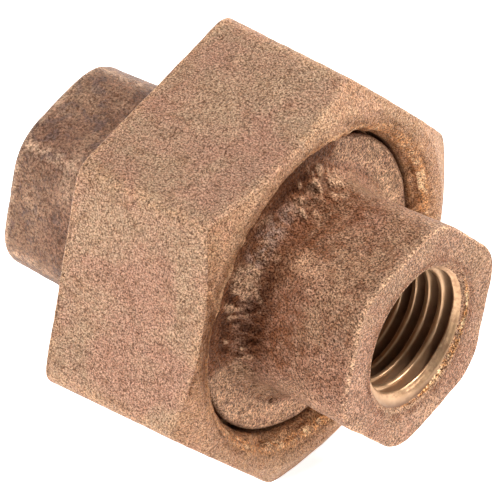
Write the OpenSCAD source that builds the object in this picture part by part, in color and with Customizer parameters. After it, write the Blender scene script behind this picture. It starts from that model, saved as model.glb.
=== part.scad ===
// Ground-joint pipe union with two female taper-threaded ends, in millimetres.
// The centre line is the X axis. The tailpiece points to +X and the threaded end to -X.
// The pieces are drawn as they stand with the nut tight, and the nut has a flat facing up and one facing down.

/* [Whole union] */
// Length over both end faces
overall_len = 38.8; // [38:0.1:40]
// Radial gap between a moving piece and the wall around it
running_gap = 0.15; // [0.1:0.01:0.2]
// Gap between ball and seat with the nut tight
seat_gap = 0.02; // [0.01:0.01:0.05]

/* [Union nut] */
// Width across the nut's flats
nut_af = 34.8; // [34.4:0.1:36]
// Length of the nut
nut_len = 15.1; // [14.8:0.1:15.6]
// Distance of the nut's middle from the union's middle, toward the tailpiece
nut_shift = 0.95; // [0.8:0.05:1.2]
// Diameter of the front face, outside which the corners are chamfered
face_d = 34; // [33.2:0.1:34.4]
// Angle of the front corner chamfer from the face
chamfer_angle = 25; // [20:1:35]
// Thickness of the lip that holds the tailpiece's collar
lip_len = 4.3; // [4:0.1:4.5]
// Hole through the lip
lip_hole_d = 28.6; // [28.4:0.1:28.8]
// Diameter of the hole's flared mouth at the front face
mouth_d = 30; // [29.6:0.1:30.4]
// Depth of the flared mouth
mouth_depth = 1.3; // [1:0.1:1.5]

/* [Union thread] */
// Major diameter of the thread that the nut runs on
union_thread_d = 31; // [30.8:0.1:31.2]
// Depth of the run-out groove behind the lip and behind the threaded disc
relief = 0.5; // [0.3:0.1:0.6]
// Length of the threaded disc
disc_len = 9.4; // [9:0.1:9.8]

/* [Hubs] */
// Width across the flats of both hexagon hubs
hub_af = 19.3; // [18.8:0.1:19.8]
// Diameter over the round corners of the hubs
hub_corner_d = 20.8; // [20.4:0.1:21.4]
// Bevel round the corners of a hub's far end
hub_ease = 0.4; // [0.2:0.1:0.5]
// Radius of the fillet at a hub's root
root_r = 2.8; // [2:0.1:3]

/* [Tailpiece] */
// Diameter of the neck that fills the nut's lip hole
neck_d = 27.9; // [27.6:0.1:28]
// How far the neck's face stands back from the nut's front face
neck_recess = 1.4; // [1.2:0.1:1.6]
// Rounding of the neck's outer edge
neck_edge_r = 0.5; // [0.3:0.1:0.7]
// Diameter of the collar behind the lip
collar_d = 29.9; // [29.7:0.1:30]
// Thickness of the collar
collar_len = 2.5; // [2.2:0.1:2.8]
// Radius of the ball face
ball_r = 14; // [13.5:0.1:14.5]
// Radius at which the ball face meets the collar
ball_rim_r = 12; // [11.6:0.1:12.2]

/* [Pipe thread ports] */
// Diameter of the hole drilled for the pipe thread, which is the thread's crest
port_d = 11.11; // [11:0.01:11.3]
// Depth of the drilled hole from the end face
port_len = 10.5; // [10:0.1:11]
// Diameter of the waterway between the ports
waterway_d = 10.3; // [9.6:0.1:10.6]
// Diameter of the countersink at the end face
countersink_d = 14.2; // [13.9:0.1:14.4]

/* [Hidden] */
$fn = 96;
end_x = overall_len / 2;
nut_front = nut_shift + nut_len / 2;
nut_back = nut_front - nut_len;
nut_bore_d = union_thread_d + 2 * running_gap;
lip_back = nut_front - lip_len;
neck_face = nut_front - neck_recess;
collar_front = lip_back - seat_gap;
collar_back = collar_front - collar_len;
ball_x = collar_back + sqrt(ball_r * ball_r - ball_rim_r * ball_rim_r);
disc_front = collar_back - 0.55;
disc_back = disc_front - disc_len;
// The 45 degree seat touches the ball where the ball's own slope is 45 degrees
seat_r0 = ball_r * sin(45) - (ball_x - ball_r * sin(45)) + seat_gap * sqrt(2);
bronze = [0.72, 0.52, 0.38];
dark_bronze = [0.5, 0.37, 0.32];

// Turns a piece drawn along Z so that it lies along X, with local x pointing down
module along_x() {
    rotate([0, 90, 0]) children();
}

// Hub that rises from local z = 0 to len: a hexagon with flats facing local x and round corners
module hub(len) {
    ease_in = hub_corner_d / 2 - hub_ease;
    ease_r = ease_in / sin(45);
    intersection() {
        rotate(30) cylinder(r = hub_af / 2 / cos(30), h = len, $fn = 6);
        cylinder(d = hub_corner_d, h = len);
        // Its slope where it crosses the corners is 45 degrees
        translate([0, 0, len - sqrt(ease_r * ease_r - ease_in * ease_in)]) sphere(r = ease_r);
    }
}

// Ring that fills the corner between a flat face at local z = 0 and a hub
module root_fillet() {
    // It dips 0.4 mm into the hub's flats, so that it meets them at an angle
    foot_r = hub_af / 2 - 0.4 + root_r;
    rotate_extrude() difference() {
        translate([waterway_d / 2 + 1, -0.5]) square([foot_r - waterway_d / 2 - 1, root_r + 0.5]);
        translate([foot_r, root_r]) circle(r = root_r);
    }
}

// What is cut away for one port: its face is at local z = 0 and it goes down
module port_cut() {
    sink = (countersink_d - port_d) / 2;
    rotate_extrude() polygon([
        [0, -port_len - 1], [waterway_d / 2, -port_len - 1], [waterway_d / 2, -port_len],
        [port_d / 2, -port_len + (port_d - waterway_d) / 2], [port_d / 2, -sink],
        [countersink_d / 2, 0], [countersink_d / 2, 1], [0, 1]
    ]);
}

module waterway_cut() {
    translate([0, 0, -overall_len]) cylinder(d = waterway_d, h = 2 * overall_len);
}

// Disc with a 45 degree edge at both ends, from local z0 to z1
module bevelled_disc(d, z0, z1, edge) {
    rotate_extrude() polygon([
        [0, z0], [d / 2 - edge, z0], [d / 2, z0 + edge],
        [d / 2, z1 - edge], [d / 2 - edge, z1], [0, z1]
    ]);
}

// Piece with the outside union thread, the conical seat and the port at -X
module thread_end() {
    color(dark_bronze) along_x() difference() {
        union() {
            translate([0, 0, disc_back + 1]) mirror([0, 0, 1]) hub(end_x + disc_back + 1);
            translate([0, 0, disc_back]) mirror([0, 0, 1]) root_fillet();
            difference() {
                bevelled_disc(union_thread_d, disc_back, disc_front, 0.8);
                translate([0, 0, disc_back + 1]) difference() {
                    cylinder(d = union_thread_d + 1, h = 1);
                    cylinder(d = union_thread_d - 2 * relief, h = 1);
                }
            }
        }
        waterway_cut();
        translate([0, 0, -end_x]) mirror([0, 0, 1]) port_cut();
        translate([0, 0, -seat_r0]) cylinder(r1 = 0, r2 = seat_r0 + 8, h = seat_r0 + 8);
    }
}

// Piece with the collar that the nut pulls, the ball face and the port at +X
module tailpiece() {
    color(bronze) along_x() difference() {
        union() {
            translate([0, 0, collar_back + 1]) hub(end_x - collar_back - 1);
            translate([0, 0, neck_face]) root_fillet();
            translate([0, 0, collar_back + 1])
                cylinder(d = neck_d, h = neck_face - collar_back - 1 - neck_edge_r);
            translate([0, 0, neck_face - neck_edge_r])
                cylinder(d = neck_d - 2 * neck_edge_r, h = neck_edge_r);
            translate([0, 0, neck_face - neck_edge_r]) rotate_extrude()
                translate([neck_d / 2 - neck_edge_r, 0]) intersection() {
                    circle(r = neck_edge_r);
                    translate([-neck_edge_r, 0]) square(2 * neck_edge_r);
                }
            bevelled_disc(collar_d, collar_back, collar_front, 0.3);
            intersection() {
                translate([0, 0, ball_x]) sphere(r = ball_r);
                translate([0, 0, ball_x - ball_r]) cylinder(r = ball_rim_r + 1, h = collar_back - ball_x + ball_r + 0.5);
            }
        }
        waterway_cut();
        translate([0, 0, end_x]) port_cut();
    }
}

// Hexagon nut with an inner lip at +X and the inside union thread behind it
module union_nut() {
    corner_r = nut_af / 2 / cos(30);
    front_r = (corner_r + face_d / 2) / 2 / sin(chamfer_angle);
    back_edge = corner_r - 0.5;
    back_r = corner_r / sin(45);
    color(bronze) along_x() difference() {
        intersection() {
            translate([0, 0, nut_back]) rotate(30) cylinder(r = corner_r, h = nut_len, $fn = 6);
            translate([0, 0, nut_front - sqrt(front_r * front_r - face_d * face_d / 4)]) sphere(r = front_r);
            translate([0, 0, nut_back + sqrt(back_r * back_r - back_edge * back_edge)]) sphere(r = back_r);
        }
        // Bore, run-out groove and entry bevel of the union thread, then the lip hole and its mouth
        rotate_extrude() polygon([
            [0, nut_back - 1], [nut_bore_d / 2 + 0.6, nut_back - 1], [nut_bore_d / 2 + 0.6, nut_back],
            [nut_bore_d / 2, nut_back + 0.6], [nut_bore_d / 2, lip_back - 1.6],
            [nut_bore_d / 2 + relief, lip_back - 1.6], [nut_bore_d / 2 + relief, lip_back],
            [lip_hole_d / 2, lip_back], [lip_hole_d / 2, nut_front - mouth_depth],
            [mouth_d / 2, nut_front], [mouth_d / 2, nut_front + 1], [0, nut_front + 1]
        ]);
    }
}

thread_end();
tailpiece();
union_nut();
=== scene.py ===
import math
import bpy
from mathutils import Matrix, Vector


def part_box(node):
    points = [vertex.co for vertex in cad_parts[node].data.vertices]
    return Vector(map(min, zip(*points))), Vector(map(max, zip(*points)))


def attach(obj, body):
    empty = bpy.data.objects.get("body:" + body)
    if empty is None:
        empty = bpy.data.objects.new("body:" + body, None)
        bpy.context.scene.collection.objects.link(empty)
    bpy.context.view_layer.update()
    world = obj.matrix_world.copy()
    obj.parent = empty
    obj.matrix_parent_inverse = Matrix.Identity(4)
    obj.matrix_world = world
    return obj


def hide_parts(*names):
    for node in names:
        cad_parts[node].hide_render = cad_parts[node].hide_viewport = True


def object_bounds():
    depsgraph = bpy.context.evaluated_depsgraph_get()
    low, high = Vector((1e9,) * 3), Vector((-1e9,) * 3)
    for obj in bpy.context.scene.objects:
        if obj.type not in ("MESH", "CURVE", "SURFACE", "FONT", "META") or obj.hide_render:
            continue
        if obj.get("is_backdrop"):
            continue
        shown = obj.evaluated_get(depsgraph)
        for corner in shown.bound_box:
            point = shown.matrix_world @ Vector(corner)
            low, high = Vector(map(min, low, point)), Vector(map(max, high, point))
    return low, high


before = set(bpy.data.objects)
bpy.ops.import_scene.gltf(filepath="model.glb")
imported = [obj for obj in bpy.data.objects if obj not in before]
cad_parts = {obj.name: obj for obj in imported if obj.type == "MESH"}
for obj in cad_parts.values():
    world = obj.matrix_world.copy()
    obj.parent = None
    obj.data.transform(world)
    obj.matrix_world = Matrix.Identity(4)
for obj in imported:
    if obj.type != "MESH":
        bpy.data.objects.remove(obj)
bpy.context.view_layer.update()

from types import SimpleNamespace
import bpy
import numpy as np
from mathutils import Matrix

# A cast bronze pipe union. Each of its three pieces is one closed skin, made of rings round the X axis.
# Lengths are worked out in millimetres and turned into metres when a mesh is made.
MM = 0.001
TURN = 2 * math.pi

# ---------------------------------------------------------------- sizes read from the CAD frame
nut_low, nut_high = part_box("union_nut")
tail_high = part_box("tailpiece")[1]
body_low, body_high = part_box("thread_end")
NUT_FRONT = nut_high[0] / MM
NUT_BACK = nut_low[0] / MM
NUT_APOTHEM = nut_high[2] / MM
TAIL_END = tail_high[0] / MM
BODY_END = body_low[0] / MM
DISC_FRONT = body_high[0] / MM
DISC_R = body_high[2] / MM
COLLAR_R = tail_high[2] / MM

# ---------------------------------------------------------------- sizes of the cast and cut detail
# Nut: the flats have a moulding draft, and the front face is a rounded ridge round the hole
DRAFT = 0.19
NUT_EDGE = 0.3
NUT_CORNER_R = 1.2
NUT_BACK_CORNER_R = 2.3
FACE_PEAK_R = 16.3
FACE_PEAK_X = NUT_FRONT + 0.2
FACE_RIM_R = 15.0
FACE_RIM_DROP = 0.2
RIM_BEVEL_R = 15.42
RIM_BEVEL_SLOPE = 0.6
CHAMFER_START_R = 16.9
CHAMFER_SPAN = 3.1
CHAMFER_DROP = 1.75
BACK_FACE_R = 17.0
ENTRY_R = 16.3
LIP_LEN = 4.3
LIP_R = 14.3
LIP_BACK = NUT_FRONT - LIP_LEN
RELIEF_R = 16.15
RELIEF_BACK = LIP_BACK - 1.5
# Wall of the lip hole, from the inside out: depth below the nut's front, widening, roughness
LIP_WALL = [(4.2, 0.0, 0.0), (3.3, 0.0, 0.1), (2.5, -0.04, 0.3), (1.9, -0.08, 0.4),
            (1.6, -0.08, 0.5), (1.35, -0.03, 0.7), (1.1, 0.08, 0.9), (0.9, 0.2, 1.0),
            (0.7, 0.32, 1.0), (0.52, 0.45, 0.8), (0.38, 0.58, 0.5)]

# Union thread: the inside and outside threads share one helix, so that they stay in mesh
UNION_PITCH = 1.5875
UNION_ROOT_R = DISC_R - 0.57
UNION_CLEARANCE = 0.12
UNION_FLAT = 0.22
DISC_LEN = 9.4
DISC_BACK = DISC_FRONT - DISC_LEN

# Pipe thread: tapered 1 in 16 on its diameter, and fading out before the waterway
PIPE_PITCH = 1.4111
PIPE_ROOT_R = 6.81
PIPE_CREST_R = 5.70
PIPE_LEAST_R = 5.58
PIPE_LEN = 9.6
PIPE_FADE = 1.6
PIPE_CREST_FLAT = 0.26
PIPE_ROOT_FLAT = 0.14
PIPE_ROUNDING = 0.65
# Over this length the waterway opens to the thread, by more than the thread needs
PIPE_FOOT_LEN = 0.5
PIPE_FOOT_RISE = 9
BORE_R = 5.15

# Countersink: its outer part is as cast
SINK_R = 7.05
SINK_EDGE = 0.12
SINK_CAST_DEPTH = 0.42

# Tailpiece
NECK_R = 13.92
NECK_EDGE = 0.4
NECK_FACE = NUT_FRONT - 1.4
COLLAR_FRONT = LIP_BACK - 0.02
COLLAR_LEN = 2.5
COLLAR_BACK = COLLAR_FRONT - COLLAR_LEN
BALL_R = 14.0
BALL_RIM_R = 12.0
BALL_X = COLLAR_BACK + math.sqrt(BALL_R ** 2 - BALL_RIM_R ** 2)
# A small casting pit in the neck's face, low on the left
PIT_PLACE = (NECK_FACE, -7.4, -8.3)
PIT_R = 0.32
PIT_DEPTH = 0.5

# Seat: a 45 degree cone, so its radius shrinks as x does
SEAT_RIM_R = 12.07

# Hubs: sense is the X direction that the end faces; the root fillet's foot meets the face at root_x
FRONT_HUB = SimpleNamespace(end_x=TAIL_END, sense=1, edge=0.22, flat_end=9.7, flat_root=9.3, corner_r=4.4,
                            root_x=NECK_FACE, fillet_len=3.1, foot_r=12.75, corner_wear=0.35, wear_width=9)
BACK_HUB = SimpleNamespace(end_x=BODY_END, sense=-1, edge=0.65, flat_end=9.68, flat_root=9.98, corner_r=5.0,
                           root_x=DISC_BACK, fillet_len=2.7, foot_r=12.4, corner_wear=1.1, wear_width=5)

# Angles round X, in degrees: 0 is +Y and 90 is up; the flats face 30, 90, 150 and so on
# The nut face's left side is darker: soiling and painted shade
NUT_DIRT_SHADE_ANGLE = 150
NUT_DIRT_SHADE_SPREAD = 27
HUB_DIRT_ANGLE = 117
HUB_DIRT_REACH = 65
HUB_DIRT_FADE = 18
HUB_DIRT_LEAST = 0.25
BACK_HUB_DIRT = 0.5
# Grey coat on the hub fillet: its grey is a painted sheen
FILM_SHEEN_ANGLE = 113
FILM_SHEEN_SPREAD = 26
STREAK_SEAM_ANGLE = 120

# Each ring is as cast or machined; its marks are numbers kept on the mesh for the relief and materials:
# rough: share of the casting's relief; wear: rubbed pale, and on the nut's lip wall painted light; grime:
# brown soiling, and painted shade at the gaps, rims, hollows and hub end faces; ochre: yellow patina;
# film: a smooth grey coat, whose grey is a painted sheen; accent: gold rub and painted gold glints on cast
# metal, but painted shade in the thread roots, grooves and waterway on machined metal
CAST, CUT = 0, 1
MARKS = ("rough", "wear", "grime", "accent", "ochre", "film_sheen")
MACHINED = {"kind": CUT, "rough": 0.0}
SAME_PLACE = 1e-6


# ---------------------------------------------------------------- noise
def lattice(ix, iy, iz, seed):
    """Even random numbers from 0 to 1 at whole-number grid points, the same on each run."""
    mask = np.int64(0xFFFFFFFF)
    h = (ix * 374761393 + iy * 668265263 + iz * 1274126177 + seed * 974634777) & mask
    h = ((h ^ (h >> 13)) * 1103515245) & mask
    h = ((h ^ (h >> 16)) * 362437) & mask
    h = h ^ (h >> 11)
    return (h & 0xFFFFF) / float(0xFFFFF)


def noise(points, size, seed):
    """Smooth noise from -1 to 1 whose lumps are about size millimetres across."""
    q = points / size
    cell = np.floor(q).astype(np.int64)
    f = q - cell
    f = f * f * f * (f * (f * 6 - 15) + 10)
    total = np.zeros(points.shape[:-1])
    for dx in (0, 1):
        wx = f[..., 0] if dx else 1 - f[..., 0]
        for dy in (0, 1):
            wy = f[..., 1] if dy else 1 - f[..., 1]
            for dz in (0, 1):
                wz = f[..., 2] if dz else 1 - f[..., 2]
                value = lattice(cell[..., 0] + dx, cell[..., 1] + dy, cell[..., 2] + dz, seed)
                total += wx * wy * wz * value
    return total * 2 - 1


def lumps(p, *layers):
    """Sum of noises, each given as its height and size in millimetres and its seed."""
    return sum(height * noise(p, size, seed) for height, size, seed in layers)


def streaks(p, along, around, seed):
    """Noise drawn out across the rings: along is in millimetres, around in degrees from the seam."""
    radius = np.hypot(p[..., 1], p[..., 2])
    turn = (np.degrees(np.arctan2(p[..., 2], p[..., 1])) + (360 - STREAK_SEAM_ANGLE)) % 360
    return noise(np.stack([p[..., 0] / along, radius / along, turn / around], axis=-1), 1.0, seed)


# ---------------------------------------------------------------- shape helpers
def smooth(t):
    """0 below 0, 1 above 1, and an even curve between."""
    t = np.clip(t, 0, 1)
    return t * t * (3 - 2 * t)


def bell(value, centre, spread):
    """1 at the centre, falling to 0 on both sides."""
    return np.exp(-((value - centre) / spread) ** 2)


def turned_from(phi, angle):
    """How far phi is round from an angle, in degrees from -180 to 180."""
    return (np.degrees(phi) - angle + 180) % 360 - 180


def from_flat(phi):
    """Degrees from phi to the middle of the nearest flat, from 0 to 30."""
    return np.abs((np.degrees(phi) - 90 + 30) % 60 - 30)


def near_corner(phi, width_deg):
    """1 on a hexagon's corner lines, falling to 0 at width_deg from them."""
    return np.clip(1 - (30 - from_flat(phi)) / width_deg, 0, 1)


def hex_angles(per_flat, per_corner, corner_half):
    """Angles round the X axis, closer together at the corners of a hexagon with a flat facing up."""
    flat_part = np.linspace(-30 + corner_half, 30 - corner_half, per_flat)
    corner_part = np.linspace(30 - corner_half, 30 + corner_half, per_corner + 2)[1:-1]
    one = np.concatenate([flat_part, corner_part])
    return np.radians(np.concatenate([90 + 60 * k + one for k in range(6)]))


def even_angles(count):
    """Even angles round the X axis, from 90 at the top to 450."""
    return np.radians(90 + np.arange(count) * 360 / count)


def hex_radius(phi, apothem, corner_r):
    """Distance from the centre line to a hexagon with round corners, in the direction phi."""
    psi = np.radians(from_flat(phi))
    inner = apothem - corner_r
    half_side = inner * math.tan(math.radians(30))
    along = inner * np.cos(psi) + half_side * np.sin(psi)
    on_arc = apothem * np.tan(psi) > half_side
    inside = np.maximum(corner_r ** 2 - (inner ** 2 + half_side ** 2) + along ** 2, 0)
    return np.where(on_arc, along + np.sqrt(inside), apothem / np.cos(psi))


def trapezoid(u, crest, root):
    """Thread outline over one pitch: 1 on the crest, 0 at the root, straight flanks between."""
    away = np.abs((u % 1.0) - 0.5) * 2
    return np.clip((1 - root - away) / (1 - root - crest), 0, 1)


class Loft:
    """Rings of points round the X axis, from which one closed skin is made. A place is (x, radius)."""

    def __init__(self, phi):
        self.phi = phi
        self.x, self.r, self.kind, self.marks = [], [], [], []

    def ring(self, x, r, kind=CAST, rough=1.0, wear=0.0, grime=0.0, accent=0.0, ochre=0.0, film_sheen=0.0):
        """Add one ring, unless it lies on the ring before it."""
        if self.x and np.max(np.abs(self.x[-1] - x) + np.abs(self.r[-1] - r)) < SAME_PLACE:
            return
        ones = np.ones_like(self.phi)
        self.x.append(x * ones)
        self.r.append(r * ones)
        self.kind.append(kind)
        self.marks.append([mark * ones for mark in (rough, wear, grime, accent, ochre, film_sheen)])

    def line(self, start, end, count, last=True, **marks):
        """Rings on a straight line between two places; the end ring is left out if last is false."""
        for k in range(count + 1 if last else count):
            t = k / count
            self.ring(start[0] + (end[0] - start[0]) * t, start[1] + (end[1] - start[1]) * t, **marks)

    def corner(self, start, end, count, outward, **marks):
        """Quarter turn between two places, without its end ring; outward starts by changing radius."""
        for k in range(count):
            a = k / count * math.pi / 2
            early, late = math.sin(a), 1 - math.cos(a)
            tx, tr = (late, early) if outward else (early, late)
            self.ring(start[0] + (end[0] - start[0]) * tx, start[1] + (end[1] - start[1]) * tr, **marks)


def grid_normals(p):
    """Unit normals of a grid of points that closes on itself both ways."""
    around = np.roll(p, -1, axis=1) - np.roll(p, 1, axis=1)
    along = np.roll(p, -1, axis=0) - np.roll(p, 1, axis=0)
    n = np.cross(around, along)
    return n / np.maximum(np.linalg.norm(n, axis=2, keepdims=True), 1e-9)


def signed_volume(p, quads):
    """Volume inside the quads, below zero if their fronts face inward."""
    flat = p.reshape(-1, 3)
    total = 0.0
    for i, j, k in ((0, 1, 2), (0, 2, 3)):
        a, b, c = flat[quads[:, i]], flat[quads[:, j]], flat[quads[:, k]]
        total += np.einsum("ij,ij->i", a, np.cross(b, c)).sum()
    return total / 6


def keep_mark(mesh, label, values):
    layer = mesh.attributes.new(label, "FLOAT", "POINT")
    layer.data.foreach_set("value", values.reshape(-1).astype(np.float32))


def add_piece(node, body, loft, relief, cast):
    """Turn rings into one closed mesh that stands for a CAD node and rides on a body."""
    x, r, marks = np.array(loft.x), np.array(loft.r), np.array(loft.marks)
    p = np.stack([x, r * np.cos(loft.phi), r * np.sin(loft.phi)], axis=2)
    index = np.arange(x.size).reshape(x.shape)
    beside = np.roll(index, -1, axis=1)
    quads = np.stack([index, beside, np.roll(beside, -1, axis=0), np.roll(index, -1, axis=0)], axis=2)
    quads = quads.reshape(-1, 4)
    outward = 1 if signed_volume(p, quads) > 0 else -1
    lift = relief(p, marks[:, 0])
    p = p + grid_normals(p) * outward * lift[..., None]
    mesh = bpy.data.meshes.new(node + "_cast")
    mesh.from_pydata((p.reshape(-1, 3) * MM).tolist(), [], quads.tolist())
    kinds = np.array(loft.kind)
    both_cut = np.minimum(kinds, np.roll(kinds, -1))
    mesh.polygons.foreach_set("material_index", np.repeat(both_cut, x.shape[1]).astype(np.int32))
    mesh.polygons.foreach_set("use_smooth", np.ones(len(quads), dtype=bool))
    for k, label in enumerate(MARKS):
        keep_mark(mesh, label, marks[:, k])
    # How far the relief moved each point, in millimetres
    keep_mark(mesh, "lift", lift)
    mesh.materials.append(cast)
    mesh.materials.append(cut_metal)
    mesh.update()
    if outward < 0:
        mesh.flip_normals()
    piece = bpy.data.objects.new(node + "_cast", mesh)
    bpy.context.scene.collection.objects.link(piece)
    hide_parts(node)
    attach(piece, body)


# ---------------------------------------------------------------- threads
def union_ridge(x, phi):
    """1 on the crest of the outside union thread and 0 at its root; it is right-handed."""
    return trapezoid(x / UNION_PITCH - phi / TURN, UNION_FLAT, UNION_FLAT)


def union_radius(x, phi):
    """Radius of the outside union thread."""
    return UNION_ROOT_R + (DISC_R - UNION_ROOT_R) * union_ridge(x, phi)


def pipe_radius(depth, phi, sense):
    """Radius of the inside pipe thread at a depth below the end face, and 1 at its root, 0 on its crest."""
    taper = depth / 32
    crest_r = max(PIPE_CREST_R - taper, PIPE_LEAST_R)
    root_r = crest_r + (PIPE_ROOT_R - taper - crest_r) * smooth((PIPE_LEN - depth) / PIPE_FADE)
    ridge = trapezoid(sense * -depth / PIPE_PITCH - phi / TURN, PIPE_CREST_FLAT, PIPE_ROOT_FLAT)
    rounded = 0.5 - 0.5 * np.cos(ridge * math.pi)
    ridge = (1 - PIPE_ROUNDING) * ridge + PIPE_ROUNDING * rounded
    return root_r - (root_r - crest_r) * ridge, 1 - ridge


def port_rings(loft, end_x, sense):
    """Rings from the waterway out through the pipe thread to the countersink's rim."""
    steps = 96
    for k in range(steps + 1):
        depth = PIPE_LEN * (1 - k / steps)
        thread_r, low = pipe_radius(depth, loft.phi, sense)
        cone_r = SINK_R - SINK_EDGE - depth
        on_cone = smooth((cone_r - thread_r) / 0.15)
        foot_r = BORE_R + smooth((PIPE_LEN - depth) / PIPE_FOOT_LEN) * PIPE_FOOT_RISE
        r = np.minimum(np.maximum(thread_r, cone_r), foot_r)
        as_cast = depth < SINK_CAST_DEPTH
        # the accent puts painted shade in the thread roots
        loft.ring(end_x - sense * depth, r, kind=CAST if as_cast else CUT, rough=0.15 * on_cone,
                  accent=low * (1 - on_cone), wear=on_cone * (0.3 if as_cast else 1))


# ---------------------------------------------------------------- union nut
def front_x(r):
    """Front surface of the nut: a ridge, falling to the hole and more to the corners."""
    inner = FACE_RIM_DROP * np.clip((FACE_PEAK_R - r) / (FACE_PEAK_R - RIM_BEVEL_R), 0, 1) ** 2
    inner = inner + RIM_BEVEL_SLOPE * np.clip(RIM_BEVEL_R - r, 0, 1)
    outer = CHAMFER_DROP * np.clip((r - CHAMFER_START_R) / CHAMFER_SPAN, 0, 2) ** 1.1
    return FACE_PEAK_X - inner - outer


def nut_face(loft, edge_r):
    """Front face, from the hole's rim out; its left side is darker, soiling and painted shade, and it
    darkens near the rim, partly painted shade.
    """
    dirt_and_shade_left = bell(turned_from(loft.phi, NUT_DIRT_SHADE_ANGLE), 0, NUT_DIRT_SHADE_SPREAD)
    bevel_steps = 3
    for k in range(bevel_steps):
        r = FACE_RIM_R + (RIM_BEVEL_R - FACE_RIM_R) * k / bevel_steps
        loft.ring(front_x(r), r, rough=1.2, wear=0.8, ochre=0.9, accent=0.8 - 0.5 * dirt_and_shade_left, grime=0.8 * dirt_and_shade_left)
    steps = 20
    for k in range(steps + 1):
        r = RIM_BEVEL_R + (edge_r - RIM_BEVEL_R) * (k / steps) ** 1.2
        near_rim = 1 - smooth((r - RIM_BEVEL_R) / 1.6)
        at_rim = 1 - smooth((r - RIM_BEVEL_R) / 0.3)
        loft.ring(front_x(r), r, rough=1 + 1.4 * near_rim, wear=0.5 - 0.5 * dirt_and_shade_left,
                  ochre=np.minimum(0.45 + 0.5 * near_rim + 0.8 * dirt_and_shade_left, 1.1),
                  grime=0.55 * near_rim * (0.5 + 0.5 * dirt_and_shade_left) + 0.6 * dirt_and_shade_left,
                  accent=(0.5 - 0.3 * dirt_and_shade_left) * at_rim)


def nut_flats(loft, start_x, front_flat, back_flat):
    """Drafted flats, rubbed pale along their corners and end edges, then the back face."""
    phi = loft.phi
    corner_wear = 0.7 * near_corner(phi, 3.5)
    length = NUT_BACK + NUT_EDGE - start_x
    steps = 34
    for k in range(steps + 1):
        x = start_x + length * k / steps
        share = (NUT_FRONT - x) / (NUT_FRONT - NUT_BACK)
        flat = front_flat + (back_flat - front_flat) * share
        corner_r = NUT_CORNER_R + (NUT_BACK_CORNER_R - NUT_CORNER_R) * share
        end_wear = 0.5 * max(1 - min(k, steps - k) / 2, 0)
        loft.ring(x, hex_radius(phi, flat, corner_r), wear=np.maximum(corner_wear, end_wear))
    back_r = hex_radius(phi, back_flat, NUT_BACK_CORNER_R)
    loft.corner((NUT_BACK + NUT_EDGE, back_r), (NUT_BACK, back_r - NUT_EDGE), 5, False, wear=0.8)
    loft.line((NUT_BACK, back_r - NUT_EDGE), (NUT_BACK, BACK_FACE_R), 8, last=False, wear=0.1)


def nut_inside(loft):
    """Machined entry, inside union thread and run-out groove."""
    loft.line((NUT_BACK, BACK_FACE_R - 0.1), (NUT_BACK, ENTRY_R), 2, kind=CUT, rough=0.2, wear=0.6)
    start_x = NUT_BACK + 0.05
    steps = 66
    for k in range(steps + 1):
        x = start_x + (RELIEF_BACK - start_x) * k / steps
        entry_r = DISC_R + 0.8 - (x - NUT_BACK)
        leave_r = DISC_R + 0.65 - (RELIEF_BACK - x) * 1.2
        r = np.maximum(union_radius(x, loft.phi) + UNION_CLEARANCE, np.maximum(entry_r, leave_r))
        # the accent puts painted shade in the thread roots and the groove behind them
        loft.ring(x, r, accent=0.6 * union_ridge(x, loft.phi), **MACHINED)
    loft.line((RELIEF_BACK + 0.05, RELIEF_R), (LIP_BACK - 0.1, RELIEF_R), 3, accent=0.7, **MACHINED)
    loft.line((LIP_BACK, RELIEF_R - 0.1), (LIP_BACK, LIP_R + 0.1), 4, accent=0.4, **MACHINED)


def nut_lip(loft):
    """Wall of the lip hole: smooth at the inner end, rough and flared out to the rim; further in it darkens,
    painted shade, its rough part is paled, partly rubbed and partly painted light, and near the rim sit
    painted gold glints.
    """
    for depth, wider, much in LIP_WALL:
        # the accent gives a gold rub, and near the rim painted gold glints
        golden_glint = 0.3 * smooth((1.9 - depth) / 0.4) + 0.7 * smooth((0.8 - depth) / 0.3)
        loft.ring(NUT_FRONT - depth, LIP_R + wider, rough=0.2 + 2.8 * much, wear=0.9 * much, ochre=1.0,
                  grime=0.8 - 0.8 * smooth((2.6 - depth) / 0.6), accent=golden_glint)


def nut_relief(p, much):
    lump = lumps(p, (0.05, 5.0, 1), (0.03, 1.7, 2), (0.025, 0.8, 3))
    knobs = 0.07 * noise(p, 0.8, 4) + 0.08 * streaks(p, 0.45, 8.0, 5)
    return lump * much + knobs * np.clip(much - 1.0, 0, 2)


def union_nut():
    loft = Loft(hex_angles(50, 18, 4.0))
    front_flat = NUT_APOTHEM - DRAFT
    back_flat = NUT_APOTHEM + DRAFT
    out_r = hex_radius(loft.phi, front_flat, NUT_CORNER_R)
    edge_x = front_x(out_r - NUT_EDGE)
    nut_face(loft, out_r - NUT_EDGE)
    loft.corner((edge_x, out_r - NUT_EDGE), (edge_x - NUT_EDGE, out_r), 6, True, wear=0.55)
    nut_flats(loft, edge_x - NUT_EDGE, front_flat, back_flat)
    nut_inside(loft)
    nut_lip(loft)
    add_piece("union_nut", "nut", loft, nut_relief, nut_metal)


# ---------------------------------------------------------------- hubs
def hub_dirt(phi):
    """1 over the two upper left flats, where the casting is lumpy and brown; less elsewhere."""
    off = np.abs(turned_from(phi, HUB_DIRT_ANGLE))
    return HUB_DIRT_LEAST + (1 - HUB_DIRT_LEAST) * smooth((HUB_DIRT_REACH - off) / HUB_DIRT_FADE)


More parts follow.
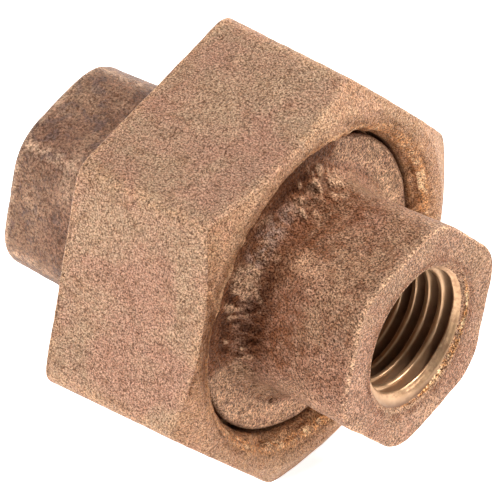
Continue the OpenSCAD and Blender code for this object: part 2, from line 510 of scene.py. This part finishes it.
def hub_face(loft, hub):
    """End face, from the countersink's rim to the rounded edge; it is darkened, most next to the
    countersink, partly soiling and partly painted shade.
    """
    rim_r = SINK_R + 0.05
    out_r = hex_radius(loft.phi, hub.flat_end, hub.corner_r)
    steps = 8
    for k in range(steps + 1):
        t = k / steps
        away = smooth(t * 3)
        sunk = 0.05 * (1 - t) ** 6
        loft.ring(hub.end_x - hub.sense * sunk, rim_r + (out_r - hub.edge - rim_r) * t,
                  rough=0.3 + 0.7 * away, wear=0.3 * t ** 3, grime=0.22 + 0.45 * (1 - away))
    loft.corner((hub.end_x, out_r - hub.edge), (hub.end_x - hub.sense * hub.edge, out_r), 6, True, wear=0.9)


def hub_side(loft, hub, dirt):
    """Drafted flats, from the rounded edge to the start of the root fillet."""
    start_x = hub.end_x - hub.sense * hub.edge
    stop_x = hub.root_x + hub.sense * hub.fillet_len
    corner_wear = hub.corner_wear * near_corner(loft.phi, hub.wear_width)
    steps = 26
    for k in range(steps):
        t = k / steps
        flat = hub.flat_end + (hub.flat_root - hub.flat_end) * t
        near_root = smooth((t - 0.45) / 0.55)
        end_wear = 0.7 * max(1 - t * 22, 0)
        loft.ring(start_x + (stop_x - start_x) * t, hex_radius(loft.phi, flat, hub.corner_r),
                  rough=1 + 0.6 * near_root, wear=np.maximum(corner_wear * (1 - near_root), end_wear),
                  grime=dirt * (0.4 + 0.4 * near_root) * smooth(t * 13))


def hub_fillet(loft, hub, dirt):
    """Root fillet, lumpy where soiled, with a smooth grey coat left of the top whose grey is a painted
    sheen; it darkens towards both ends, most at the foot, soiling and painted shade; returns its foot's
    radius.
    """
    base_r = hex_radius(loft.phi, hub.flat_root, hub.corner_r)
    foot_r = base_r + (hub.foot_r - base_r) * (0.35 + 0.65 * dirt)
    film_sheen = np.max(dirt) * bell(np.degrees(loft.phi), FILM_SHEEN_ANGLE, FILM_SHEEN_SPREAD)
    steps = 26
    for k in range(steps + 1):
        a = k / steps * math.pi / 2
        x = hub.root_x + hub.sense * hub.fillet_len * (1 - math.sin(a))
        loft.ring(x, base_r + (foot_r - base_r) * (1 - math.cos(a)),
                  rough=1.3 + 2.7 * dirt * (1 - 0.75 * film_sheen) * math.sin(a * 2),
                  grime=dirt * (0.3 + 0.6 * bell(a, 0.35, 0.45) + 1.4 * bell(a, 1.3, 0.25)),
                  film_sheen=film_sheen * bell(a, 0.9, 0.3))
    return foot_r


def hub_rings(loft, hub, dirt):
    hub_face(loft, hub)
    hub_side(loft, hub, dirt)
    return hub_fillet(loft, hub, dirt)


# ---------------------------------------------------------------- tailpiece
def neck_rings(loft, foot_r, dirt):
    """Neck's face round the fillet, and the neck that fills the nut's hole; the face's outer ring and the
    neck are darkened, painted shade of the gap to the nut with some soiling.
    """
    rim_dirt_and_shade = smooth((dirt - HUB_DIRT_LEAST) / 0.6)
    steps = 10
    for k in range(1, steps + 1):
        loft.ring(NECK_FACE, foot_r + (NECK_R - NECK_EDGE - foot_r) * k / steps,
                  rough=0.7, wear=0.9 * (1 - rim_dirt_and_shade), grime=1.5 * rim_dirt_and_shade)
    neck_x = NECK_FACE - NECK_EDGE
    loft.corner((NECK_FACE, NECK_R - NECK_EDGE), (neck_x, NECK_R), 5, True,
                wear=0.4 * (1 - rim_dirt_and_shade), grime=rim_dirt_and_shade)
    loft.line((neck_x, NECK_R), (COLLAR_FRONT + 0.02, NECK_R), 5, rough=0.4, grime=0.8)


def collar_rings(loft):
    """Machined collar, with small chamfers."""
    loft.line((COLLAR_FRONT, NECK_R + 0.05), (COLLAR_FRONT, COLLAR_R - 0.3), 3, last=False, **MACHINED)
    loft.line((COLLAR_FRONT, COLLAR_R - 0.25), (COLLAR_FRONT - 0.25, COLLAR_R), 2, wear=0.6, **MACHINED)
    loft.line((COLLAR_FRONT - 0.8, COLLAR_R), (COLLAR_BACK + 0.3, COLLAR_R), 3, **MACHINED)
    loft.line((COLLAR_BACK, COLLAR_R - 0.3), (COLLAR_BACK, BALL_RIM_R + 0.1), 4, **MACHINED)


def ball_rings(loft):
    """Ball face that seals on the seat, and the waterway behind it."""
    rim_angle = math.asin(BALL_RIM_R / BALL_R)
    bore_angle = math.asin((BORE_R + 0.2) / BALL_R)
    steps = 18
    for k in range(steps + 1):
        a = rim_angle + (bore_angle - rim_angle) * k / steps
        loft.ring(BALL_X - BALL_R * math.cos(a), BALL_R * math.sin(a), wear=0.25, **MACHINED)
    tip_x = BALL_X - BALL_R * math.cos(bore_angle)
    # the accent puts painted shade in the waterway
    loft.line((tip_x + 0.1, BORE_R + 0.04), (TAIL_END - PIPE_LEN - 0.1, BORE_R), 8, accent=0.5, **MACHINED)


def tail_relief(p, much):
    lump = lumps(p, (0.05, 4.0, 11), (0.035, 1.9, 12), (0.025, 0.9, 13))
    knobs = 0.09 * noise(p, 0.7, 14) + 0.13 * streaks(p, 0.9, 2.0, 15)
    pit = np.exp(-np.sum((p - PIT_PLACE) ** 2, axis=-1) / PIT_R ** 2)
    return lump * much + knobs * np.clip(much - 1.5, 0, 3) - PIT_DEPTH * pit


def tailpiece():
    loft = Loft(even_angles(396))
    dirt = hub_dirt(loft.phi)
    foot_r = hub_rings(loft, FRONT_HUB, dirt)
    neck_rings(loft, foot_r, dirt)
    collar_rings(loft)
    ball_rings(loft)
    port_rings(loft, TAIL_END, 1)
    add_piece("tailpiece", "tailpiece", loft, tail_relief, tail_metal)


# ---------------------------------------------------------------- thread end
def disc_rings(loft, foot_r):
    """Back face of the disc round the fillet, and the outside union thread on its edge."""
    loft.line((DISC_BACK, foot_r + 0.2), (DISC_BACK, DISC_R - 1.1), 5, last=False, grime=0.2, rough=0.8)
    loft.line((DISC_BACK, DISC_R - 1.0), (DISC_BACK, DISC_R - 0.85), 2, kind=CUT, rough=0.2, wear=0.5)
    steps = 74
    for k in range(steps + 1):
        x = DISC_BACK + 0.05 + (DISC_LEN - 0.1) * k / steps
        bevel_r = DISC_R - 0.8 + np.minimum(x - DISC_BACK, DISC_FRONT - x)
        ridge = union_ridge(x, loft.phi)
        # the accent puts painted shade in the thread roots
        loft.ring(x, np.minimum(union_radius(x, loft.phi), bevel_r),
                  accent=0.6 * (1 - ridge), wear=0.5 * ridge, **MACHINED)


def seat_rings(loft):
    """Front face of the disc, the 45 degree seat and the waterway behind it."""
    tip_x = DISC_FRONT - SEAT_RIM_R
    loft.line((DISC_FRONT, DISC_R - 0.85), (DISC_FRONT, SEAT_RIM_R + 0.08), 5, **MACHINED)
    loft.line((DISC_FRONT - 0.08, SEAT_RIM_R - 0.08), (tip_x + BORE_R + 0.06, BORE_R + 0.06), 12,
              wear=0.3, **MACHINED)
    # the accent puts painted shade in the waterway
    loft.line((tip_x + BORE_R - 0.1, BORE_R), (BODY_END + PIPE_LEN + 0.1, BORE_R), 4, accent=0.5, **MACHINED)


def body_relief(p, much):
    return lumps(p, (0.06, 4.0, 21), (0.04, 1.9, 22), (0.022, 0.9, 23)) * much


def thread_end():
    loft = Loft(even_angles(360))
    foot_r = hub_rings(loft, BACK_HUB, BACK_HUB_DIRT)
    disc_rings(loft, foot_r)
    seat_rings(loft)
    port_rings(loft, BODY_END, -1)
    add_piece("thread_end", "thread_end", loft, body_relief, body_metal)


# ---------------------------------------------------------------- materials
class Shader:
    """Short calls that add nodes to one material."""

    def __init__(self, name):
        self.material = bpy.data.materials.new(name)
        self.material.use_nodes = True
        self.tree = self.material.node_tree
        self.inputs = self.tree.nodes["Principled BSDF"].inputs
        self.coords = self.tree.nodes.new("ShaderNodeTexCoord").outputs["Object"]

    def link(self, source, socket):
        """Join a node's output, or a plain number or colour, to a socket."""
        if hasattr(source, "is_output"):
            self.tree.links.new(source, socket)
        else:
            socket.default_value = source

    def noise(self, size_mm, detail=2.0, rough=0.5, distortion=0.0):
        """Noise whose lumps are about size_mm across."""
        n = self.tree.nodes.new("ShaderNodeTexNoise")
        n.inputs["Scale"].default_value = 1 / (size_mm * MM)
        n.inputs["Detail"].default_value = detail
        n.inputs["Roughness"].default_value = rough
        n.inputs["Distortion"].default_value = distortion
        self.link(self.coords, n.inputs["Vector"])
        return n.outputs["Fac"]

    def mark(self, label):
        """A number that the mesh keeps on its points."""
        n = self.tree.nodes.new("ShaderNodeAttribute")
        n.attribute_name = label
        return n.outputs["Fac"]

    def math(self, operation, a, b, clamp=False):
        n = self.tree.nodes.new("ShaderNodeMath")
        n.operation = operation
        n.use_clamp = clamp
        self.link(a, n.inputs[0])
        self.link(b, n.inputs[1])
        return n.outputs[0]

    def times(self, a, b):
        return self.math("MULTIPLY", a, b)

    def ramp(self, value, low, high, out_low=0.0, out_high=1.0):
        """Smooth step from out_low at low to out_high at high."""
        n = self.tree.nodes.new("ShaderNodeMapRange")
        n.interpolation_type = "SMOOTHSTEP"
        self.link(value, n.inputs["Value"])
        ends = {"From Min": low, "From Max": high, "To Min": out_low, "To Max": out_high}
        for label, number in ends.items():
            n.inputs[label].default_value = number
        return n.outputs["Result"]

    def mix(self, factor, a, b, blend="MIX"):
        """Colour b over colour a."""
        n = self.tree.nodes.new("ShaderNodeMix")
        n.data_type = "RGBA"
        n.blend_type = blend
        self.link(factor, n.inputs["Factor"])
        self.link(a, n.inputs["A"])
        self.link(b, n.inputs["B"])
        return n.outputs["Result"]

    def bump(self, height, distance_mm, before=None):
        n = self.tree.nodes.new("ShaderNodeBump")
        n.inputs["Distance"].default_value = distance_mm * MM
        n.inputs["Strength"].default_value = 1.0
        self.link(height, n.inputs["Height"])
        if before is not None:
            self.link(before, n.inputs["Normal"])
        return n.outputs["Normal"]


def rgb(red, green, blue):
    """Screen colour from 0 to 255 as the linear colour that a shader takes."""
    return tuple(((c / 255 + 0.055) / 1.055) ** 2.4 for c in (red, green, blue)) + (1.0,)


# Colours that all the castings share
OCHRE = rgb(153, 115, 85)
# Darkest brown, for the heaviest marks: caked soiling, and painted shade at the nut's gap and the fillet's
# foot
CAKED_DIRT_AND_SHADE = rgb(76, 47, 32)
# Painted sheen: the grey of the fillet's coat
GREY_FILM_SHEEN = rgb(134, 110, 98)
HOLLOW = rgb(84, 48, 30)
GOLD = rgb(200, 146, 98)
# Painted highlight: pale gold glints at the nut's rim
PALE_GOLD_GLINT = rgb(236, 198, 156)
PIT = rgb(84, 52, 34)
WARM_TINT = (1.03, 0.99, 0.96, 1)
COOL_TINT = (0.97, 1.0, 0.98, 1)


def cast_base(s, tone):
    """Clean metal: two mottled tones, stains and patches of tarnish."""
    colour = s.mix(s.ramp(s.noise(7.0, 3, 0.6, 0.6), 0.36, 0.62), tone.tan, tone.pink)
    colour = s.mix(s.ramp(s.noise(1.3, 5, 0.7, 0.5), 0.5, 0.68, 0.0, 0.5), colour, tone.stain)
    tarnished = s.ramp(s.noise(2.2, 4, 0.65, 1.0), 0.48, 0.62, 0.0, tone.tarnish_share)
    return s.mix(tarnished, colour, tone.tarnish)


def cast_dirt_and_shade(s, colour, tone):
    """Rubbed edges with some painted light, ochre patina, and brown soiling with painted shade, where the
    mesh's marks put them.
    """
    worn_and_lit = s.times(s.mark("wear"), s.ramp(s.noise(0.7, 4, 0.65), 0.35, 0.6, 0.0, 0.7))
    colour = s.mix(worn_and_lit, colour, tone.pale)
    ochre = s.times(s.mark("ochre"), s.ramp(s.noise(0.9, 4, 0.65), 0.25, 0.7, 0.25, 1.0))
    colour = s.mix(ochre, colour, OCHRE)
    patchy = s.ramp(s.noise(1.1, 5, 0.75, 0.4), 0.25, 0.75, -0.5, 0.25)
    dirt = s.math("ADD", s.mark("grime"), patchy)
    colour = s.mix(s.ramp(dirt, 0.0, 0.9, 0.0, 0.95), colour, tone.dirt)
    return s.mix(s.ramp(dirt, 0.95, 1.6, 0.0, 0.75), colour, CAKED_DIRT_AND_SHADE)


def cast_relief(s, colour, tone):
    """Brown in the hollows, a painted highlight in pale on the lumps, and a gold rub where the accent mark
    is.
    """
    colour = s.mix(s.ramp(s.mark("lift"), -0.3, -0.04, 0.3, 0.0), colour, HOLLOW)
    # painted highlight: pale on the raised lumps
    colour = s.mix(s.ramp(s.mark("lift"), 0.02, 0.16, 0.0, 0.55), colour, tone.pale)
    rub = s.times(s.mark("accent"), s.ramp(s.noise(0.35, 3, 0.6), 0.42, 0.6))
    return s.mix(rub, colour, GOLD)


def cast_grain(s, colour, grain, tone):
    """Sand grain: small changes of hue, dark and pale specks, and pits."""
    tint = s.mix(s.ramp(s.noise(tone.grain_mm * 2, 2, 0.5), 0.4, 0.6), WARM_TINT, COOL_TINT)
    colour = s.mix(1.0, colour, tint, "MULTIPLY")
    low, high = 1 - tone.speck, 1 + 1.3 * tone.speck
    specks = s.mix(s.ramp(grain, 0.34, 0.68), (low + 0.07, low + 0.02, low, 1), (high, high, high, 1))
    colour = s.mix(1.0, colour, specks, "MULTIPLY")
    pits = s.ramp(s.noise(tone.grain_mm * 1.6, 2, 0.5), 0.34, 0.42, 0.75, 0.0)
    return s.mix(pits, colour, PIT)


def cast_gloss(s, film_sheen, golden_glint, grain, shine):
    """Bare metal and rough skin in fine patches, less metallic and a little smoother under the grey coat
    with its painted sheen, less metallic under the painted glints, with three sizes of bump.
    """
    bare = s.ramp(s.noise(0.2, 2, 0.6), 0.4, 0.6, 0.4 * shine, 0.9 * shine)
    bare = s.math("SUBTRACT", bare, s.times(film_sheen, 0.6), clamp=True)
    s.link(s.math("SUBTRACT", bare, s.times(golden_glint, 0.6), clamp=True), s.inputs["Metallic"])
    s.inputs["Specular IOR Level"].default_value = 0.18
    s.inputs["Specular Tint"].default_value = (1.0, 0.85, 0.74, 1)
    rough = s.ramp(s.noise(0.2, 2, 0.6), 0.35, 0.62, 0.28, 0.6)
    s.link(s.math("SUBTRACT", rough, s.times(film_sheen, 0.15)), s.inputs["Roughness"])
    normal = s.bump(s.noise(1.1, 3, 0.6), 0.12)
    normal = s.bump(s.noise(0.25, 2, 0.6), 0.16, normal)
    s.link(s.bump(grain, 0.12, normal), s.inputs["Normal"])


def cast_metal(name, **tones):
    """Sand-cast bronze: mottled, grainy, paler where edges are rubbed, brown where soiling sits, with
    painted shade, painted highlights, a painted sheen and painted glints where the marks put them.
    """
    s = Shader(name)
    tone = SimpleNamespace(**tones)
    film_sheen = s.times(s.mark("film_sheen"), s.ramp(s.noise(0.8, 4, 0.65), 0.42, 0.6))
    # painted highlight: pale gold glints where the accent mark is high
    golden_glint = s.times(s.ramp(s.mark("accent"), 0.7, 0.9), s.ramp(s.noise(1.2, 3, 0.6), 0.53, 0.6))
    grain = s.noise(tone.grain_mm, 3, 0.75)
    colour = cast_dirt_and_shade(s, cast_base(s, tone), tone)
    # painted sheen: grey where the coat lies
    colour = s.mix(film_sheen, colour, GREY_FILM_SHEEN)
    colour = cast_relief(s, colour, tone)
    colour = s.mix(golden_glint, colour, PALE_GOLD_GLINT)
    s.link(cast_grain(s, colour, grain, tone), s.inputs["Base Color"])
    cast_gloss(s, film_sheen, golden_glint, grain, tone.shine)
    return s.material


def machined_metal(name):
    """Turned bronze: bright and gold-coloured, with fine tool rings and painted shade in the thread roots,
    grooves and waterway.
    """
    s = Shader(name)
    colour = s.mix(s.ramp(s.noise(2.2, 3, 0.6), 0.35, 0.65), rgb(198, 160, 124), rgb(184, 146, 110))
    stains = s.times(s.mark("wear"), s.ramp(s.noise(0.6, 4, 0.7), 0.42, 0.62, 0.0, 0.6))
    colour = s.mix(stains, colour, rgb(150, 110, 82))
    # painted shade where the accent mark is: thread roots, grooves and the waterway
    in_root = s.math("POWER", s.mark("accent"), 1.5)
    root_shade = s.times(in_root, s.ramp(s.noise(1.0, 3, 0.6), 0.2, 0.6, 0.6, 1.0))
    s.link(s.mix(root_shade, colour, rgb(112, 80, 58)), s.inputs["Base Color"])
    s.link(s.math("SUBTRACT", 0.85, s.times(root_shade, 0.7), clamp=True), s.inputs["Metallic"])
    s.link(s.ramp(s.noise(0.5, 3, 0.6), 0.3, 0.7, 0.32, 0.5), s.inputs["Roughness"])
    rings = s.tree.nodes.new("ShaderNodeTexWave")
    rings.wave_type = "BANDS"
    rings.bands_direction = "X"
    rings.inputs["Scale"].default_value = 1 / (0.9 * MM)
    rings.inputs["Distortion"].default_value = 0.6
    rings.inputs["Detail"].default_value = 1.0
    s.link(s.coords, rings.inputs["Vector"])
    normal = s.bump(rings.outputs["Fac"], 0.01)
    s.link(s.bump(s.noise(0.3, 2, 0.6), 0.015, normal), s.inputs["Normal"])
    return s.material


nut_metal = cast_metal(
    "nut_cast_bronze", tan=rgb(157, 129, 106), pink=rgb(156, 120, 101), stain=rgb(116, 80, 56),
    pale=rgb(190, 152, 118), dirt=rgb(96, 58, 34), tarnish=rgb(134, 110, 94), tarnish_share=0.2,
    grain_mm=0.15, shine=1.0, speck=0.72)
tail_metal = cast_metal(
    "tail_cast_bronze", tan=rgb(144, 114, 91), pink=rgb(143, 108, 89), stain=rgb(98, 64, 44),
    pale=rgb(196, 160, 130), dirt=rgb(104, 64, 42), tarnish=rgb(118, 98, 88), tarnish_share=0.2,
    grain_mm=0.16, shine=1.0, speck=0.92)
body_metal = cast_metal(
    "body_cast_bronze", tan=rgb(131, 102, 83), pink=rgb(127, 96, 79), stain=rgb(66, 44, 34),
    pale=rgb(196, 164, 138), dirt=rgb(66, 42, 32), tarnish=rgb(92, 74, 70), tarnish_share=0.75,
    grain_mm=0.2, shine=0.7, speck=0.68)
cut_metal = machined_metal("machined_bronze")

union_nut()
tailpiece()
thread_end()


# ---------------------------------------------------------------- floor, light and camera
def floor_material():
    """Plain white that glows a little, so that it stays pale and shadows on it are soft."""
    s = Shader("white_floor")
    s.link(s.mix(s.noise(60, 2), (0.93, 0.93, 0.93, 1), (0.95, 0.95, 0.95, 1)), s.inputs["Base Color"])
    s.inputs["Roughness"].default_value = 0.9
    s.inputs["Specular IOR Level"].default_value = 0.1
    s.inputs["Emission Color"].default_value = (1, 1, 1, 1)
    s.inputs["Emission Strength"].default_value = 0.8
    return s.material


def add_floor(z):
    half = 4.0
    corners = [(-half, -half, z), (half, -half, z), (half, half, z), (-half, half, z)]
    mesh = bpy.data.meshes.new("floor")
    mesh.from_pydata(corners, [], [(0, 1, 2, 3)])
    mesh.materials.append(floor_material())
    floor = bpy.data.objects.new("floor", mesh)
    bpy.context.scene.collection.objects.link(floor)
    floor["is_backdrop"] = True


def put(thing, right, up, back, place):
    """Add a light or camera at a place, by the directions of its own three axes."""
    matrix = Matrix.Identity(4)
    for row in range(3):
        matrix[row][0:4] = right[row], up[row], back[row], place[row]
    holder = bpy.data.objects.new(thing.name, thing)
    holder.matrix_world = matrix
    bpy.context.scene.collection.objects.link(holder)
    return holder


def add_area(name, place, power):
    """Round lamp that shines at the origin."""
    light = bpy.data.lights.new(name, "AREA")
    light.shape = "DISK"
    light.size = 0.10
    light.energy = power
    back = np.array(place) / np.linalg.norm(place)
    right = np.cross((0, 0, 1), back)
    right = right / np.linalg.norm(right)
    put(light, right, np.cross(back, right), back, place)


def add_camera():
    """The view that fits the outline of the three hexagons and the port."""
    camera = bpy.data.cameras.new("camera")
    camera.sensor_width = 36
    camera.lens = 382.3
    camera.clip_start = 0.01
    camera.clip_end = 50
    bpy.context.scene.camera = put(
        camera, right=(0.77457, 0.61025, -0.16623), up=(-0.37697, 0.65647, 0.65341),
        back=(0.50787, -0.44345, 0.73852), place=(0.23638, -0.20574, 0.34344))


FLOOR_GAP = 0.0002
add_floor(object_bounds()[0][2] - FLOOR_GAP)
world = bpy.data.worlds.new("studio")
bpy.context.scene.world = world
world.use_nodes = True
world.node_tree.nodes["Background"].inputs["Color"].default_value = (1, 1, 1, 1)
world.node_tree.nodes["Background"].inputs["Strength"].default_value = 0.25
add_area("left", (-0.06, -0.34, 0.26), 2.0)
add_area("right", (0.17, 0.32, 0.32), 3.5)
add_camera()
bpy.context.scene.view_settings.view_transform = "Standard"
bpy.context.scene.view_settings.look = "None"
